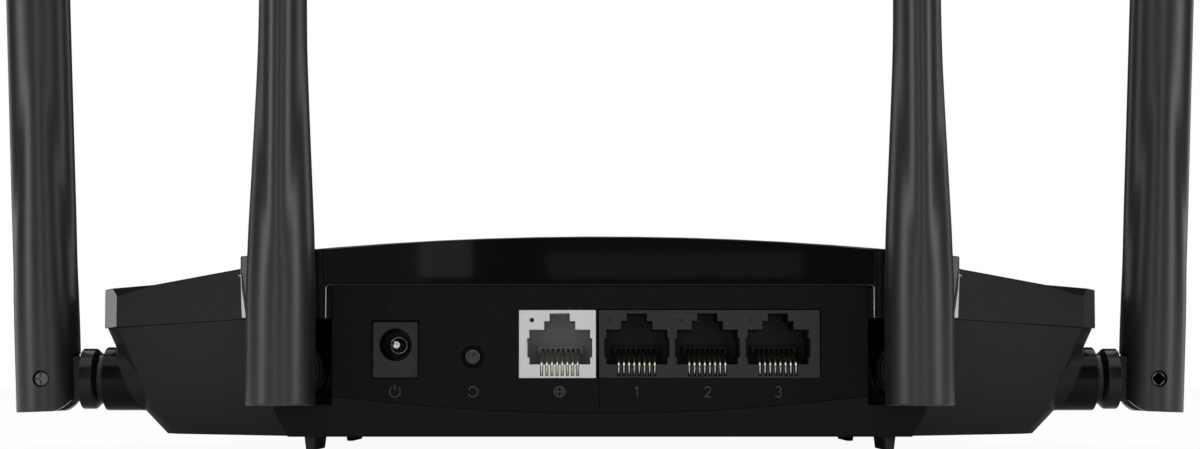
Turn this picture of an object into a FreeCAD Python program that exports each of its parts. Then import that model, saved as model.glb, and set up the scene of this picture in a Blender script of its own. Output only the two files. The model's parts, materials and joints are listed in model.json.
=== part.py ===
"""Wireless router with four hinged antennas, in millimetres.

The sheet's lengths are measured from the plane of the port panel (Y), the middle of the case (X) and the
surface that the router stands on (Z). Each finished piece is then moved along Y, so that the origin is
under the middle of the whole object. The ports face -Y and +Z is up.
"""
import FreeCAD, Part
import math
import os
import re
import Sketcher
from FreeCAD import Placement, Rotation, Vector

doc = FreeCAD.newDocument("Router")
sheet = doc.addObject("Spreadsheet::Sheet", "Sizes")

SIZES = {
    # case outline, right half, at the seam between the shells, at the tuck and at the base
    "seam_wing_x": 67.6, "seam_wing_y": 0, "tuck_wing_x": 64.0, "tuck_wing_y": 5.4,
    "base_wing_x": 63.0, "base_wing_y": 7.0, "seam_heel_x": 100.7, "seam_heel_y": 21.9,
    "tuck_heel_x": 93.6, "tuck_heel_y": 25.0, "base_heel_x": 87.9, "base_heel_y": 23.5,
    "seam_side_x": 104.4, "seam_side_y": 27.4, "tuck_side_x": 96.3, "tuck_side_y": 29.5,
    "base_side_x": 91.0, "base_side_y": 28.0, "seam_brow_x": 80, "seam_brow_y": 112,
    "tuck_brow_x": 74.2, "tuck_brow_y": 108.4, "base_brow_x": 69.6, "base_brow_y": 105.6,
    "seam_nose_x": 62, "seam_nose_y": 128, "tuck_nose_x": 59.5, "tuck_nose_y": 121.5,
    "base_nose_x": 57.6, "base_nose_y": 116.3,
    # case heights and walls
    "base_z": 2.8, "tuck_z": 8, "seam_z": 26.2, "seam_end_z": 24.8, "seam_bend_x": 70, "wall": 2,
    "skirt_x": 64.75, "skirt_base_x": 61.8, "skirt_z": 9.2, "block_y": 14.5,
    "notch_in_x": 53.3, "notch_out_x": 70.2, "notch_y": 12.5, "gap": 0.15,
    # top cover
    "wing_z": 36.4, "wing_knee_x": 91.8, "wing_knee_z": 34.4, "wing_end_z": 34.4, "wing_fall": 0.05,
    "deck_z": 33.0, "cover_y": 2.6,
    # glossy lid
    "lid_x": 71.5, "lid_y": 0.4, "lid_front_x": 52, "lid_front_y": 121, "lid_z": 42.6,
    "lid_end_z": 38.5, "lid_fall": 0.07, "lid_wall": 1.8,
    # port panel and its openings
    "panel_x": 53.1, "panel_z": 32.6, "panel_end_z": 10.9, "panel_low_z": 7.4,
    "power_x": -40.6, "power_z": 21, "power_width": 9, "power_height": 11.2, "power_bore": 6.5,
    "power_pin": 2.0, "power_depth": 14.4, "button_x": -25.2, "button_z": 18.6, "button_width": 3.0,
    "button_travel": 0.4, "jack_z": 14.4, "jack_height": 13.5, "jack_depth": 16, "jack_pitch": 14,
    "wan_x": -8.35, "wan_width": 15.4, "lan_x": 7.3, "lan_block_x": -0.4, "lan_block_width": 44,
    "contact_pitch": 1.02, "contact_width": 0.45,
    # antennas
    "inner_x": 62.1, "inner_y": -8, "inner_z": 16, "outer_x": 117.1, "outer_y": 31.5, "outer_z": 14.3,
    "lean": 2.3, "sheath_width": 13.6, "blade_thick": 9.1, "cone_low": 15, "cone_high": 70,
    "sheath_high": 170, "sheath_low": 6.9, "heel_radius": 7.3, "slot_width": 6.4, "slot_back": 5,
    "tongue_thick": 6.0, "eye_radius": 4.75, "flange_radius": 6.4, "flange_near": 7.6,
    "neck_radius": 5.3, "neck_near": 11.4, "collar_near": 12.6, "collar_radius": 6.7,
    "shaft_radius": 5.25, "bore_radius": 5.3, "groove_radius": 4.3, "groove_width": 1.1,
    "clip_thick": 0.9, "clip_radius": 6.3, "shaft_tail": 1.2, "pin_radius": 1.25, "head_radius": 1.65,
    "head_seat": 5.2, "inner_wall_run": 9.9, "outer_wall_run": 13.2, "core_radius": 2.8,
    # inside the case
    "board_z": 12.7, "board_thick": 1.6, "board_x": 73, "board_back": 18, "board_front": 92,
    "board_neck_x": 50, "board_neck_y": 2.6, "post_x": 66, "post_back": 24, "post_front": 86,
    "post_radius": 3, "board_screw": 1.2, "boss_x": 81, "boss_y": 41, "boss_nose_x": 50,
    "boss_nose_y": 108, "boss_radius": 3.6, "case_screw": 1.4, "foot_x": 57.6, "foot_back": 2,
    "foot_front": 72, "foot_length": 18, "foot_width": 2.2, "foot_tip": 1.5, "vent_width": 2.4,
    "vent_length": 44, "vent_pitch": 5.6, "vent_y": 32, "light_y": 100, "light_pitch": 7,
    "light_length": 3.2, "light_width": 1.2, "bevel_drop": 1.9, "lid_facet": 1.5,
    "lid_facet_z": 36, "lead_radius": 0.7,
}
for row, (alias, value) in enumerate(SIZES.items(), start=1):
    sheet.set(f"A{row}", alias.replace("_", " "))
    sheet.set(f"B{row}", str(value))
    sheet.setAlias(f"B{row}", alias)
doc.recompute()

CENTRE = "(sheath_width / 2 - inner_y - seam_nose_y) / 2"  # shift that puts the origin mid-length
NODES = {}  # label of each finished piece: the document object that holds its shape


def full(text):
    """An expression with every alias written as the sheet's property."""
    return re.sub(r"[a-z]+(?:_[a-z]+)+|\b(?:wall|gap|lean)\b", r"Sizes.\g<0>", str(text))


def number(text):
    return float(sheet.evalExpression(full(text)))


def bind(thing, **sizes):
    """Tie properties to the sheet; a double underscore stands for a dot."""
    for name, text in sizes.items():
        thing.setExpression(name.replace("__", "."), full(text))


def new_body(name):
    body = doc.addObject("PartDesign::Body", name)
    body.Label = name
    return body


def new_sketch(body, plane, height="0"):
    """A sketch on one of the body's own origin planes, lifted along that plane's normal."""
    sketch = body.newObject("Sketcher::SketchObject", body.Name + "_outline")
    origin = next(f for f in body.Origin.OriginFeatures if f.Role == plane + "_Plane")
    sketch.AttachmentSupport = [(origin, "")]
    sketch.MapMode = "FlatFace"
    bind(sketch, AttachmentOffset__Base__z=height)
    return sketch


def hold(sketch, edge, point, x, y):
    """Fix a point of an edge by its two distances from the sketch's origin."""
    for kind, text, axis in (("DistanceX", x, -2), ("DistanceY", y, -1)):
        if abs(number(text)) < 1e-7:
            sketch.addConstraint(Sketcher.Constraint("PointOnObject", edge, point, axis))
            continue
        rule = sketch.addConstraint(Sketcher.Constraint(kind, -1, 1, edge, point, number(text)))
        sketch.setExpression(f"Constraints[{rule}]", full(text))


def polygon(sketch, points):
    """A closed outline of straight edges through points given as pairs of expressions."""
    first = sketch.GeometryCount
    spots = [Vector(number(x), number(y), 0) for x, y in points]
    for a, b in zip(spots, spots[1:] + spots[:1]):
        sketch.addGeometry(Part.LineSegment(a, b), False)
    for i, (x, y) in enumerate(points):
        following = first + (i + 1) % len(points)
        sketch.addConstraint(Sketcher.Constraint("Coincident", first + i, 2, following, 1))
        hold(sketch, first + i, 1, x, y)


def rectangle(sketch, left, low, right, high):
    polygon(sketch, [(left, low), (right, low), (right, high), (left, high)])


def circle(sketch, x, y, radius):
    edge = sketch.addGeometry(
        Part.Circle(Vector(number(x), number(y), 0), Vector(0, 0, 1), number(radius)), False)
    hold(sketch, edge, 3, x, y)
    rule = sketch.addConstraint(Sketcher.Constraint("Radius", edge, number(radius)))
    sketch.setExpression(f"Constraints[{rule}]", full(radius))


def bowed(sketch, corners, bow, rise):
    """Three straight edges through four corners, closed by an arc that passes through (0, bow)."""
    spots = [Vector(number(x), number(y), 0) for x, y in corners]
    for a, b in zip(spots, spots[1:]):
        sketch.addGeometry(Part.LineSegment(a, b), False)
    crown = Vector(0, number(bow), 0)
    above = crown.y > spots[0].y
    start, end = (spots[0], spots[3]) if above else (spots[3], spots[0])
    arc = sketch.addGeometry(Part.Arc(start, crown, end), False)
    for edge in (0, 1):
        sketch.addConstraint(Sketcher.Constraint("Coincident", edge, 2, edge + 1, 1))
    for edge, point, (x, y) in zip((0, 1, 2, 2), (1, 1, 1, 2), corners):
        hold(sketch, edge, point, x, y)
    last, first = (2, 1) if above else (1, 2)
    sketch.addConstraint(Sketcher.Constraint("Coincident", arc, last, 2, 2))
    sketch.addConstraint(Sketcher.Constraint("Coincident", arc, first, 0, 1))
    radius = f"(({corners[0][0]}) ^ 2 + ({rise}) ^ 2) / (2 * ({rise}))"
    rule = sketch.addConstraint(Sketcher.Constraint("Radius", arc, number(radius)))
    sketch.setExpression(f"Constraints[{rule}]", full(radius))


def mirrored(points):
    """An outline from its right half, which runs from the back to the front."""
    return points + [(f"-({x})", y) for x, y in reversed(points)]


def feature(body, kind, sketch, **sizes):
    """A pad, pocket or other profile feature; a cutting one must take volume away."""
    cutting = kind in ("Pocket", "Groove")
    before = body.Shape.Volume if cutting else 0
    item = body.newObject("PartDesign::" + kind, body.Name + "_" + kind.lower())
    item.Profile = sketch
    for name in [n for n in sizes if not isinstance(sizes[n], str) or n in ("SideType", "Type")]:
        setattr(item, name, sizes.pop(name))
    bind(item, **sizes)
    doc.recompute()
    if cutting and not 0 < body.Shape.Volume < before:
        raise RuntimeError(f"{body.Label}: {kind} cut nothing")
    return item


def loft(body, sketches):
    item = body.newObject("PartDesign::AdditiveLoft", body.Name + "_loft")
    item.Profile = sketches[0]
    item.Sections = sketches[1:]
    item.Ruled = True
    doc.recompute()


def revolve(body, plane, axis, outline):
    """A turned piece: the outline lies in one of the body's planes, beside the axis."""
    sketch = new_sketch(body, plane)
    polygon(sketch, outline)
    item = body.newObject("PartDesign::Revolution", body.Name + "_turned")
    item.Profile = sketch
    item.ReferenceAxis = (sketch, [axis])
    doc.recompute()


def box(name, low, high):
    """A box between two corners given as triples of expressions."""
    item = doc.addObject("Part::Box", name)
    bind(item, Placement__Base__x=low[0], Placement__Base__y=low[1], Placement__Base__z=low[2])
    bind(item, Length=f"({high[0]}) - ({low[0]})", Width=f"({high[1]}) - ({low[1]})",
         Height=f"({high[2]}) - ({low[2]})")
    return item


def rod(name, start, axis, radius, length):
    """A cylinder from a start point along X, Y or Z."""
    item = doc.addObject("Part::Cylinder", name)
    item.Placement.Rotation = Rotation(Vector(0, 0, 1), Vector(*axis))
    bind(item, Placement__Base__x=start[0], Placement__Base__y=start[1],
         Placement__Base__z=start[2], Radius=radius, Height=length)
    return item


def cut(name, base, tool):
    item = doc.addObject("Part::Cut", name)
    item.Base, item.Tool = base, tool
    return item


def fuse(name, shapes):
    item = doc.addObject("Part::MultiFuse", name)
    item.Shapes = shapes
    return item


def common(name, base, tool):
    item = doc.addObject("Part::Common", name)
    item.Base, item.Tool = base, tool
    return item


def group(name, shapes):
    """Several separate solids of one kind that share a node."""
    item = doc.addObject("Part::Compound", name)
    item.Links = shapes
    return item


def finish(name, item, shift=True):
    """Name the piece and move it from the port panel's plane to the object's frame."""
    item.Label = name
    if shift:
        bind(item, Placement__Base__y=CENTRE)
    NODES[name] = item
    return item


def block(name, plane, outline, start, length, **extra):
    """A prism: an outline on an XY, XZ or YZ plane, padded from `start` along +Z, +Y or +X."""
    body = new_body(name)
    back = plane == "XZ"
    sketch = new_sketch(body, plane, f"-({start})" if back else start)
    polygon(sketch, outline)
    feature(body, "Pad", sketch, Length=length, Reversed=back, **extra)
    return body


# ---- case: the lofted hull shared by both shells, and the cutters that part them

CORNERS = ("wing", "heel", "side", "brow", "nose")


def inset(level, by):
    """The case outline at a level, moved inwards by a distance, mitred at each corner."""
    spots = [(number(f"{level}_{c}_x"), number(f"{level}_{c}_y")) for c in CORNERS]
    chain = [(0, spots[0][1])] + spots + [(0, spots[-1][1])]
    points = []
    for corner, before, here, after in zip(CORNERS, chain, chain[1:], chain[2:]):
        ways = [math.atan2(q[1] - p[1], q[0] - p[0]) for p, q in ((before, here), (here, after))]
        normals = [(-math.sin(w), math.cos(w)) for w in ways]
        dot = normals[0][0] * normals[1][0] + normals[0][1] * normals[1][1]
        move = [(normals[0][k] + normals[1][k]) / (1 + dot) for k in (0, 1)]
        points.append((f"{level}_{corner}_x + {move[0]:.5f} * ({by})",
                       f"{level}_{corner}_y + {move[1]:.5f} * ({by})"))
    return mirrored(points)


def hull(name, by, floor):
    """The lower hull as a ruled loft from the base through the tuck to the seam."""
    body = new_body(name)
    sketches = []
    for level, height in (("base", floor), ("tuck", "tuck_z"), ("seam", "seam_z")):
        sketches.append(new_sketch(body, "XY", height))
        polygon(sketches[-1], inset(level, by))
    loft(body, sketches)
    return body


def above_seam(name):
    """Everything above the parting line, which is level in the middle and droops at the ends."""
    return block(name, "XZ", mirrored([("seam_bend_x", "seam_z"), ("seam_side_x + 2", "seam_end_z"),
                                       ("seam_side_x + 2", "60")]), "-5", "seam_nose_y + 10")


def notch_walls(name, low, high):
    """The bays beside the port panel where the inner antennas' hinges sit, with their walls."""
    sides = []
    for side in ("", "-"):
        outline = [("notch_in_x - wall", "-1"), ("notch_out_x + wall", "-1"),
                   ("notch_out_x + wall", "notch_y + wall"), ("notch_in_x - wall", "notch_y + wall")]
        outline = [(f"{side}({x})", y) for x, y in outline]
        sides.append(block(name, "XY", outline, low, f"({high}) - ({low})"))
    return fuse(name + "_pair", sides)


def notches(name, low, high):
    boxes = [box(name, ("notch_in_x", "-1", low), ("notch_out_x", "notch_y", high)),
             box(name, ("-notch_out_x", "-1", low), ("-notch_in_x", "notch_y", high))]
    return fuse(name + "_pair", boxes)


# name: (X, Y, Z of the hinge, turn about Z, lean, side of the screw's head, length through the wall)
ANTENNAS = {
    "outer_left": ("-outer_x", "outer_y", "outer_z", -90, "lean", 1, "outer_wall_run"),
    "inner_left": ("-inner_x", "inner_y", "inner_z", 0, "0", 1, "inner_wall_run"),
    "inner_right": ("inner_x", "inner_y", "inner_z", 0, "0", -1, "inner_wall_run"),
    "outer_right": ("outer_x", "outer_y", "outer_z", 90, "lean", -1, "outer_wall_run"),
}


def barrels(name, radius, start, length_past):
    """A cylinder along each antenna's barrel axis, from a distance past the hinge."""
    rods = []
    for x, y, z, turn, _, _, run in ANTENNAS.values():
        way = (-math.sin(math.radians(turn)), math.cos(math.radians(turn)), 0)
        begin = (f"{x} + ({way[0]:.0f}) * ({start})", f"{y} + ({way[1]:.0f}) * ({start})", z)
        rods.append(rod(name, begin, way, radius, f"{run} + ({length_past})"))
    return fuse(name + "_four", rods)


def posts(name, x, y_pair, low, high, radius):
    """Four upright cylinders, two near the back and two near the front."""
    rods = []
    for side in ("", "-"):
        for along_x, along_y in zip(x, y_pair):
            start = (f"{side}({along_x})", along_y, low)
            rods.append(rod(name, start, (0, 0, 1), radius, f"({high}) - ({low})"))
    return rods


BOARD_POSTS = (("post_x", "post_x"), ("post_back", "post_front"))
CASE_BOSSES = (("boss_x", "boss_nose_x"), ("boss_y", "boss_nose_y"))

# bottom shell: hull, skirt and side returns, with the antenna collars and the screw posts
panel = new_body("port_panel_plate")
outline = new_sketch(panel, "XZ")
bowed(outline, [("panel_x", "panel_end_z"), ("panel_x", "panel_z"), ("-panel_x", "panel_z"),
                ("-panel_x", "panel_end_z")], "panel_low_z", "panel_end_z - panel_low_z")
feature(panel, "Pad", outline, Length="wall", Reversed=True)

skirt = block("skirt", "XZ", mirrored([("skirt_base_x", "base_z"), ("skirt_x", "tuck_z"),
                                       ("skirt_x", "skirt_z")]), "0", "block_y")
rear_wall = box("rear_wall", ("-panel_x", "0", "base_z"), ("panel_x", "wall", "panel_end_z"))
returns = [box("return", ("notch_in_x - wall", "wall", "skirt_z"), ("notch_in_x", "block_y", "seam_z")),
           box("return", ("-notch_in_x", "wall", "skirt_z"), ("wall - notch_in_x", "block_y", "seam_z"))]
outer_hull = fuse("lower_outside", [hull("lower_hull", "0", "base_z"), skirt])
hollow = cut("lower_hollow", hull("lower_cavity", "wall", "base_z + wall"),
             notch_walls("bay_walls", "skirt_z - wall", "seam_z + 1"))
under_bays = box("under_bays", ("wall - skirt_base_x", "wall", "base_z + wall"),
                 ("skirt_base_x - wall", "block_y + 2", "skirt_z - wall"))
port_room = box("port_room", ("wall - notch_in_x", "wall", "base_z + wall"),
                ("notch_in_x - wall", "block_y + 2", "seam_z + 1"))
front_gap = box("front_gap", ("-notch_in_x", "-1", "skirt_z"), ("notch_in_x", "wall", "seam_z + 1"))
walls = cut("lower_walls", outer_hull, fuse("lower_tools", [
    hollow, under_bays, port_room, front_gap, notches("bay", "skirt_z", "seam_z + 1")]))
solid = fuse("lower_solid", [
    walls, rear_wall, barrels("collar", "collar_radius", "collar_near", "0"),
    *returns,
    *posts("board_post", *BOARD_POSTS, "base_z + wall / 2", "board_z", "post_radius"),
    *posts("case_boss", *CASE_BOSSES, "base_z + wall / 2", "seam_end_z - gap", "boss_radius")])
slots = [box("vent", (f"{i} * vent_pitch - vent_width / 2", "vent_y", "0"),
             (f"{i} * vent_pitch + vent_width / 2", "vent_y + vent_length", "base_z + wall + 1"))
         for i in range(-7, 8)]
foot_seats = [box("foot_seat", (f"{s} * foot_x - foot_width / 2", y, "0"),
                  (f"{s} * foot_x + foot_width / 2", f"{y} + foot_length", "base_z + wall / 2"))
              for s in (-1, 1) for y in ("foot_back", "foot_front")]
holes = fuse("lower_holes", [
    panel, above_seam("above_lower"), barrels("barrel_bore", "bore_radius", "collar_near - 1", "5"),
    *posts("board_hole", *BOARD_POSTS, "base_z + wall + 1", "board_z + 1", "board_screw"),
    *posts("case_hole", *CASE_BOSSES, "0", "seam_z + 1", "case_screw + 0.1"),
    *posts("case_sink", *CASE_BOSSES, "0", "base_z + 4", "case_screw * 2 + 0.2"), *slots, *foot_seats])
bottom_shell = finish("bottom_shell", cut("bottom_shell", solid, holes))

# top cover: straight walls above the seam, two sloping wings and a sunken deck for the lid
ROOF = [("lid_x + gap", "wing_z"), ("wing_knee_x", "wing_knee_z"), ("seam_side_x + 2", "wing_end_z")]


def roof(name, drop):
    """All that lies below the wings, which fall away towards the front, lowered by `drop`."""
    body = new_body(name + "_profile")
    sketch = new_sketch(body, "XZ")
    points = [("seam_side_x + 2", "seam_end_z - 9")]
    points += [(x, f"{z} - ({drop})") for x, z in reversed(ROOF)]
    polygon(sketch, mirrored(points))
    item = doc.addObject("Part::Extrusion", name)
    item.Base = sketch
    item.DirMode = "Custom"
    item.Dir = Vector(0, 1, -number("wing_fall"))
    item.Solid = True
    bind(item, LengthFwd="seam_nose_y + 5")
    return item


def lid_plan(by):
    """The lid's outline from above, grown outwards by a distance."""
    return mirrored([(f"lid_x + ({by})", f"lid_y - ({by})"),
                     (f"lid_front_x + ({by})", f"lid_front_y + ({by})")])


prism = block("cover_prism", "XY", inset("seam", "0"), "seam_end_z - 1", "20")
inner_prism = block("cover_cavity", "XY", inset("seam", "wall"), "seam_end_z - 2", "20")


def deck(name, lift):
    """The space over the sunken deck, which falls towards the front with the wings."""
    body = new_body(name + "_profile")
    sketch = new_sketch(body, "XZ")
    rectangle(sketch, "-seam_side_x", f"deck_z - ({lift})", "seam_side_x", "deck_z + 20")
    item = doc.addObject("Part::Extrusion", name)
    item.Base = sketch
    item.DirMode = "Custom"
    item.Dir = Vector(0, 1, -number("wing_fall"))
    item.Solid = True
    bind(item, LengthFwd="seam_nose_y + 5")
    return item


def tall(name, by):
    return block(name, "XY", lid_plan(by), "seam_z - 14", "40")


recess = common("recess", tall("recess_plan", "gap"), deck("recess_room", "0"))
recess_under = common("recess_under", tall("recess_under_plan", "gap + wall"),
                      deck("recess_under_room", "wall"))
cover_solid = cut("cover_solid", common("cover_body", prism, roof("wing_roof", "0")), recess)
cavity = cut("cover_inside", cut("cover_room", common("cover_hollow", inner_prism,
                                                      roof("wing_ceiling", "wall")), recess_under),
             notch_walls("bay_ceiling", "seam_z", "seam_z + wall"))
cover_walls = cut("cover_walls", cover_solid, cavity)
cover_bosses = common("cover_bosses", fuse("cover_posts", posts(
    "cover_post", *CASE_BOSSES, "seam_end_z", "wing_z", "boss_radius")), roof("boss_roof", "wall / 2"))
rear_strip = box("rear_strip", ("-lid_x - gap", "-5", "0"), ("lid_x + gap", "cover_y", "60"))
port_way = box("port_way", ("-notch_in_x - gap", "-5", "0"),
               ("notch_in_x + gap", "jack_depth + 2", "panel_z - 3"))
below = block("below_seam", "XZ", mirrored([("seam_side_x + 2", "0"), ("seam_side_x + 2", "seam_end_z"),
                                            ("seam_bend_x", "seam_z")]), "-5", "seam_nose_y + 10")


def lights(name, grow, low, high):
    """Five short bars in a row, for the light guide's posts and for the slots they stand in."""
    return [box(name, (f"{i} * light_pitch - light_length / 2 - {grow}",
                       f"light_y - light_width / 2 - {grow}", low),
                (f"{i} * light_pitch + light_length / 2 + {grow}",
                 f"light_y + light_width / 2 + {grow}", high)) for i in range(-2, 3)]


def facet(name, spots, reach=60):
    """A pair of blocks, one on each hand, whose inner faces pass through three points of the right half."""
    pair = []
    for hand in (1, -1):
        a, b, c = (Vector(hand * x, y, z) for x, y, z in spots)
        turn = Rotation(Vector(0, 0, 1), (b - a).cross(c - a) * hand)
        item = doc.addObject("Part::Box", name)
        item.Length = item.Width = item.Height = reach
        item.Placement = Placement(a + turn.multVec(Vector(-reach / 2, -reach / 2, 0)), turn)
        pair.append(item)
    return fuse(name + "_pair", pair)


# the small facet between each wing's rear wall and its top, which starts at the knee and widens to the heel
knee_x, heel_x, heel_y = number("wing_knee_x"), number("seam_heel_x"), number("seam_heel_y")
knee_y = heel_y * (knee_x - number("seam_wing_x")) / (heel_x - number("seam_wing_x"))
across_x = heel_x + 0.4 * (number("seam_side_x") - heel_x)
across_y = heel_y + 0.4 * (number("seam_side_y") - heel_y)
wing_bevels = facet("wing_bevel", [
    (knee_x, knee_y, number(f"wing_knee_z - wing_fall * {knee_y}")),
    (heel_x, heel_y, number(f"wing_end_z - bevel_drop - wing_fall * {heel_y}")),
    (across_x, across_y, number(f"wing_end_z - wing_fall * {across_y}"))])
cheeks = [box("cheek", (f"{inner}", "cover_y", "seam_z"), (f"{outer}", "cover_y + wall", "deck_z"))
          for inner, outer in (("notch_in_x", "notch_in_x + 2.5"), ("-notch_in_x - 2.5", "-notch_in_x"))]
top_cover = finish("top_cover", cut("top_cover", fuse("cover_raw", [cover_walls, cover_bosses, *cheeks]), fuse(
    "cover_tools", [rear_strip, port_way, below, recess, wing_bevels,
                    *lights("light_way", "0.1", "0", "60"),
                    *posts("cover_hole", *CASE_BOSSES, "0", "seam_z + 3", "case_screw")])))


# lid: a shallow glossy cap whose top is a wide arc, with a rear wall down to the bays
def arch(name, drop):
    """All that lies under the lid's arc, which falls away towards the front."""
    body = new_body(name + "_profile")
    sketch = new_sketch(body, "XZ")
    end, low = f"lid_end_z - ({drop})", "seam_z - 15"
    bowed(sketch, [("lid_x + 1", end), ("lid_x + 1", low), ("-(lid_x + 1)", low), ("-(lid_x + 1)", end)],
          f"lid_z - ({drop})", "lid_z - lid_end_z")
    item = doc.addObject("Part::Extrusion", name)
    item.Base = sketch
    item.DirMode = "Custom"
    item.Dir = Vector(0, 1, -number("lid_fall"))
    item.Solid = True
    bind(item, LengthFwd="seam_nose_y + 5")
    return item


cap = common("lid_cap", common("lid_arched", tall("lid_plan_out", "0"), arch("lid_top", "0")),
             deck("lid_over_deck", "0"))
cap_room = common("lid_room", tall("lid_plan_in", "-lid_wall"), arch("lid_ceiling", "lid_wall"))
apron = box("lid_apron", ("-lid_x", "lid_y", "seam_z"), ("lid_x", "lid_y + lid_wall", "deck_z + 2"))
apron_gap = box("lid_apron_gap", ("-panel_x - 1.2", "-1", "0"), ("panel_x + 1.2", "5", "panel_z"))
lid_facets = facet("lid_facet", [
    (number("lid_x - lid_facet"), number("lid_y"), number("seam_z")),
    (number("lid_x"), number("lid_y + lid_facet"), number("seam_z")),
    (number("lid_x"), number("lid_y"), number("lid_facet_z"))])
finish("gloss_lid", cut("gloss_lid", fuse("lid_raw", [cut("lid_shell", cap, cap_room), apron]), fuse(
    "lid_tools", [apron_gap, lid_facets, *lights("lid_light", "0.1", "0", "60")])))

# port panel: the plate with its openings for the power inlet, the button and the network jacks
panel_holes = fuse("panel_holes", [
    box("power_way", ("power_x - power_width / 2 - gap", "-1", "power_z - power_height / 2 - 1.1"),
        ("power_x + power_width / 2 + gap", "5", "power_z + power_height / 2 - 0.8")),
    rod("button_way", ("button_x", "-1", "button_z"), (0, 1, 0), "button_width / 2 + 0.1", "5"),
    box("wan_way", ("wan_x - wan_width / 2 - gap / 2", "-1", "jack_z"),
        ("wan_x + wan_width / 2", "5", "jack_z + jack_height + gap")),
    box("lan_way", ("lan_block_x", "-1", "jack_z"),
        ("lan_block_x + lan_block_width + gap", "5", "jack_z + jack_height + gap"))])
button_dish = rod("button_dish", ("button_x", "-1", "button_z"), (0, 1, 0), "button_width * 0.75", "1.8")
finish("port_panel", cut("port_panel", panel, fuse("panel_tools", [panel_holes, button_dish])))

# ---- sockets
JACK_STEPS = (("2.0", "12.8"), ("3.1", "11.3"), ("6.05", "9.6"), ("6.45", "7.9"), ("6.05", "4.1"),
              ("6.05", "2.7"))  # half-width, and the height above the board where it starts


def jack_opening(name, x):
    """The stepped mouth of an eight-way socket: latch slot, shoulder, then the plug's body."""
    steps = []
    for (half, top), (_, low) in zip(JACK_STEPS, JACK_STEPS[1:]):
        steps += [(half, top), (half, low)]
    outline = [(f"{x} + {half}", f"jack_z + {level}") for half, level in steps]
    outline += [(f"{x} - {half}", f"jack_z + {level}") for half, level in reversed(steps)]
    return block(name, "XZ", outline, "-1", "jack_depth - 2")


def contacts(name, x):
    """Eight spring wires that rise from the mouth's lip to the back of the socket."""
    wires = []
    for i in range(8):
        place = f"{x} + {i - 3.5} * contact_pitch"
        wires.append(block(name, "YZ", [("0.5", "jack_z + 0.5"), ("1.1", "jack_z + 0.5"),
                                        ("1.4", "jack_z + 2.9"), ("12.5", "jack_z + 5.3"),
                                        ("12.5", "jack_z + 5.7"), ("0.9", "jack_z + 3.3")],
                           f"{place} - contact_width / 2", "contact_width"))
    return wires


def lip_grooves(name, x):
    """The slots in the socket's lip that the eight wires lie in."""
    return [box(name, (f"{x} + {i - 3.5} * contact_pitch - 0.3", "-1", "jack_z + 0.4"),
                (f"{x} + {i - 3.5} * contact_pitch + 0.3", "1.6", "jack_z + 3")) for i in range(8)]


def comb(name, x):
    """The toothed bar on the socket's back wall that keeps the ends of the wires apart."""
    bar = box(name + "_bar", (f"{x} - 4.6", "11.2", "jack_z + 5.0"), (f"{x} + 4.6", "13.2", "jack_z + 6.5"))
    ways = [box(name, (f"{x} + {i - 3.5} * contact_pitch - 0.3", "11", "jack_z + 4.8"),
                (f"{x} + {i - 3.5} * contact_pitch + 0.3", "13", "jack_z + 6.0")) for i in range(8)]
    return cut(name, bar, fuse(name + "_ways", ways))


LAN_PLACES = [f"lan_x + {i} * jack_pitch" for i in range(3)]
wan_body = box("wan_body", ("wan_x - wan_width / 2", "gap", "jack_z"),
               ("wan_x + wan_width / 2 - gap", "jack_depth", "jack_z + jack_height"))
WAN_MOUTH = "wan_x + 0.35"
finish("wan_jack", fuse("wan_jack", [comb("wan_comb", WAN_MOUTH), cut("wan_block", wan_body, fuse(
    "wan_tools", [jack_opening("wan_mouth", WAN_MOUTH), *lip_grooves("wan_groove", WAN_MOUTH)]))]))
finish("wan_contacts", group("wan_contacts", contacts("wan_wire", WAN_MOUTH)))
lan_body = box("lan_body", ("lan_block_x + gap", "gap", "jack_z"),
               ("lan_block_x + lan_block_width", "jack_depth", "jack_z + jack_height"))
finish("lan_jack_block", fuse("lan_jack_block", [
    *[comb("lan_comb", place) for place in LAN_PLACES], cut("lan_block", lan_body, fuse("lan_tools", [
        *[jack_opening("lan_mouth", place) for place in LAN_PLACES],
        *[groove for place in LAN_PLACES for groove in lip_grooves("lan_groove", place)]]))]))
finish("lan_contacts", group("lan_contacts", [w for p in LAN_PLACES for w in contacts("lan_wire", p)]))

power_low, power_high = "jack_z", "power_z + power_height / 2 - 1"
power_body = box("power_body", ("power_x - power_width / 2", "0.8", power_low),
                 ("power_x + power_width / 2", "power_depth", power_high))
power_bore = rod("power_bore", ("power_x", "-1", "power_z"), (0, 1, 0), "power_bore / 2", "11")
finish("power_inlet", cut("power_inlet", power_body, power_bore))
finish("power_pin", rod("power_pin", ("power_x", "2.2", "power_z"), (0, 1, 0), "power_pin / 2", "7.8"),
       shift=False)
bind(NODES["power_pin"], Placement__Base__y=f"2.2 + {CENTRE}")

# ---- main board and what is soldered to it
BOARD_TOP = "board_z + board_thick"
board_plan = mirrored([("board_neck_x", "board_neck_y"), ("board_neck_x", "board_back"),
                       ("board_x", "board_back"), ("board_x", "board_front")])
board = block("board_plate", "XY", board_plan, "board_z", "board_thick")
finish("main_board", cut("main_board", board, fuse("board_holes", posts(
    "board_way", *BOARD_POSTS, "board_z - 1", f"{BOARD_TOP} + 1", "board_screw + 0.3"))))


def screw(name, x, y, seat, head, thick, shank, length, up):
    """A pan-head screw: head beyond the seat, shank on the other side of it."""
    head_low = seat if up else f"{seat} - ({thick})"
    shank_low = f"{seat} - ({length})" if up else seat
    parts = [rod(name, (x, y, head_low), (0, 0, 1), head, thick),
             rod(name, (x, y, shank_low), (0, 0, 1), shank, length)]
    return fuse(name + "_solid", parts)


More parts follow.
